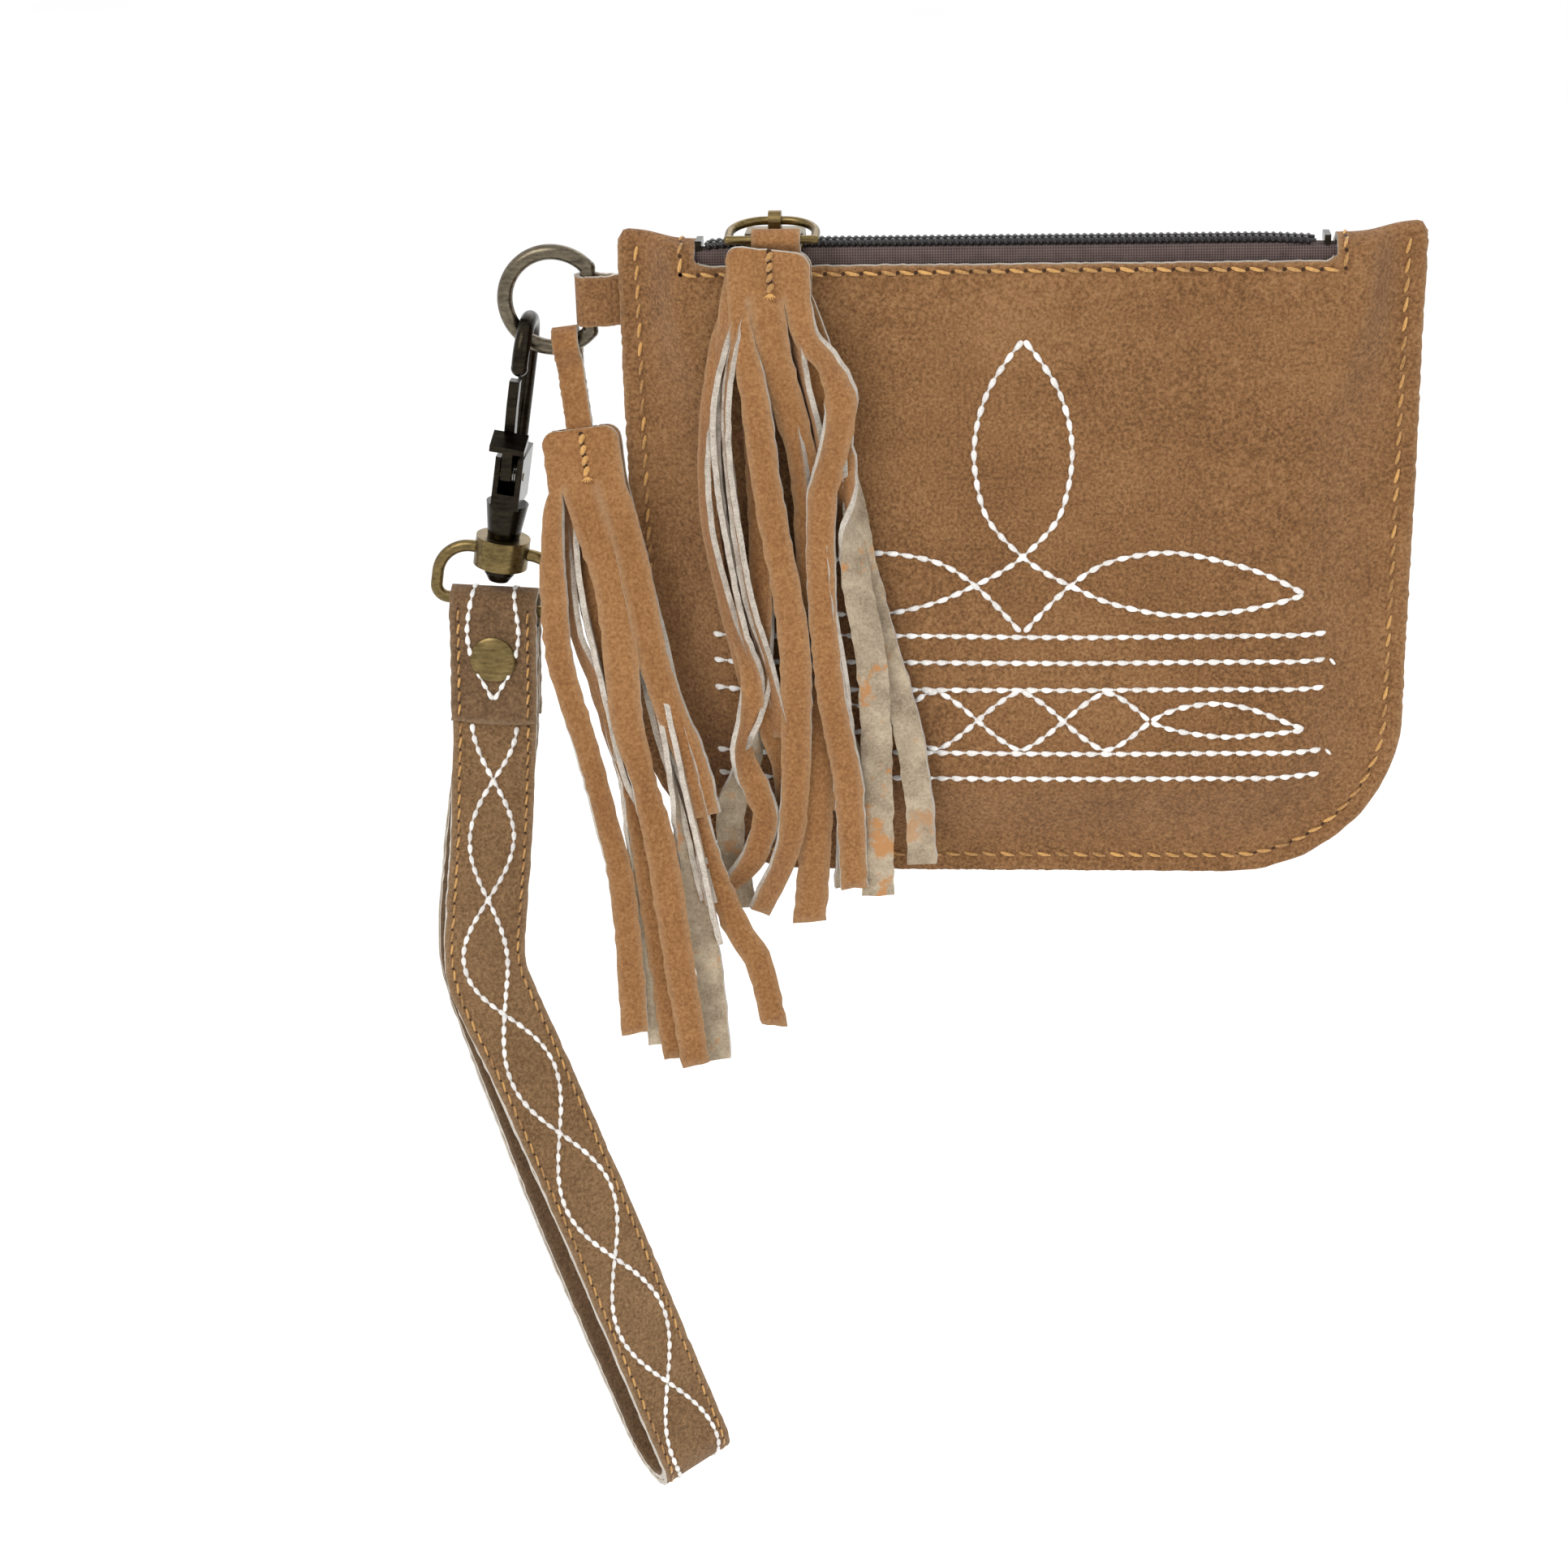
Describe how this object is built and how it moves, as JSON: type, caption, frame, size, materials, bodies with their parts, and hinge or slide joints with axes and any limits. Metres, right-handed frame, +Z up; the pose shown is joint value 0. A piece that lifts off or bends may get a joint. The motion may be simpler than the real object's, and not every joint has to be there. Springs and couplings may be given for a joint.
{
  "type": "wristlet wallet",
  "caption": "Flat suede zip pouch with stitched leaf pattern, fringe tassels on the zip pull and side D ring, and a wrist strap on a swivel snap hook",
  "frame": {"origin": "the point inside the pouch's top left corner where a hand grips it, 15 mm in from the left edge and 16 mm below the fold", "axes": "+X to the right along the zip, +Y out of the plain back, +Z up"},
  "size_m": [0.1965, 0.039, 0.2842],
  "materials": {
    "suede": "nap suede",
    "suede_flesh": "flesh side",
    "lining_cloth": "plain weave",
    "zip_tape": "ribbed weave",
    "coil": "gloss nylon",
    "antique_brass": "antique, rubbed edges",
    "dark_brass": "darkened",
    "spring_steel": "bare",
    "thread_tan": "waxed thread",
    "thread_white": "waxed thread"
  },
  "bodies": {
    "pouch": {"front_panel": "suede", "back_panel": "suede", "lining_front": "lining_cloth", "lining_back": "lining_cloth", "zip_tape_front": "zip_tape", "zip_tape_back": "zip_tape", "zip_coil_front": "coil", "zip_coil_back": "coil", "zip_stops": "antique_brass", "ring_tab": "suede", "seam_thread": "thread_tan", "slot_thread": "thread_tan", "boot_stitch": "thread_white"},
    "zip_slider": {"slider_body": "antique_brass"},
    "zip_pull": {"pull_ring": "antique_brass"},
    "front_tassel": {"tassel_front_loop": "suede", "tassel_front_fringe": "suede", "tassel_front_thread": "thread_tan"},
    "ring": {"d_ring": "antique_brass"},
    "side_tassel": {"tassel_side_loop": "suede", "tassel_side_fringe": "suede", "tassel_side_thread": "thread_tan"},
    "snap_hook": {"hook_body": "dark_brass", "swivel_post": "dark_brass", "gate_pin": "antique_brass", "gate_spring": "spring_steel"},
    "gate": {"hook_gate": "dark_brass"},
    "swivel": {"swivel_loop": "antique_brass"},
    "strap": {"strap_flap": "suede", "strap_end_filler": "suede_flesh", "strap_outer": "suede", "strap_lining": "suede_flesh", "rivet_cap": "antique_brass", "rivet_post": "antique_brass", "rivet_back": "antique_brass", "strap_edge_thread": "thread_tan", "strap_wave_thread": "thread_white"}
  },
  "joints": [
    {"name": "zip_slide", "type": "slide", "parent": "pouch", "child": "zip_slider", "axis": [1, 0, 0], "range_m": [-0.005, 0.093]},
    {"name": "pull_hinge", "type": "hinge", "parent": "zip_slider", "child": "zip_pull", "pos_m": [0.0153, -0.0027, 0.0177], "axis": [-1, 0, 0], "range_deg": [0, 178]},
    {"name": "front_tassel_swing", "type": "hinge", "parent": "zip_pull", "child": "front_tassel", "pos_m": [0.0153, -0.01215, 0.01603], "axis": [-1, 0, 0], "range_deg": [0, 90]},
    {"name": "d_ring_hinge", "type": "hinge", "parent": "pouch", "child": "ring", "pos_m": [-0.0212, 0.0001, 0.0023], "axis": [0, 0, 1], "range_deg": [-80, 0]},
    {"name": "side_tassel_swing", "type": "hinge", "parent": "ring", "child": "side_tassel", "pos_m": [-0.02579, 0.0001, -0.00668], "axis": [-0.9925, -0.0222, -0.1198], "range_deg": [0, 60]},
    {"name": "hook_swing", "type": "hinge", "parent": "ring", "child": "snap_hook", "pos_m": [-0.03367, 0.0001, -0.00522], "axis": [0.9848, 0, -0.1736], "range_deg": [-45, 45]},
    {"name": "gate_hinge", "type": "hinge", "parent": "snap_hook", "child": "gate", "pos_m": [-0.03836, -0.0023, -0.03181], "axis": [-0.9848, 0, 0.1736], "range_deg": [0, 25], "stiffness_Nm_per_rad": 0.02, "springref_deg": -28.65},
    {"name": "swivel_turn", "type": "hinge", "parent": "snap_hook", "child": "swivel", "pos_m": [-0.04124, 0.0001, -0.04816], "axis": [0.1736, 0, 0.9848], "continuous": true},
    {"name": "strap_hinge", "type": "hinge", "parent": "swivel", "child": "strap", "pos_m": [-0.04322, 0.0001, -0.05939], "axis": [0.9848, 0, -0.1736], "range_deg": [-60, 60]}
  ]
}
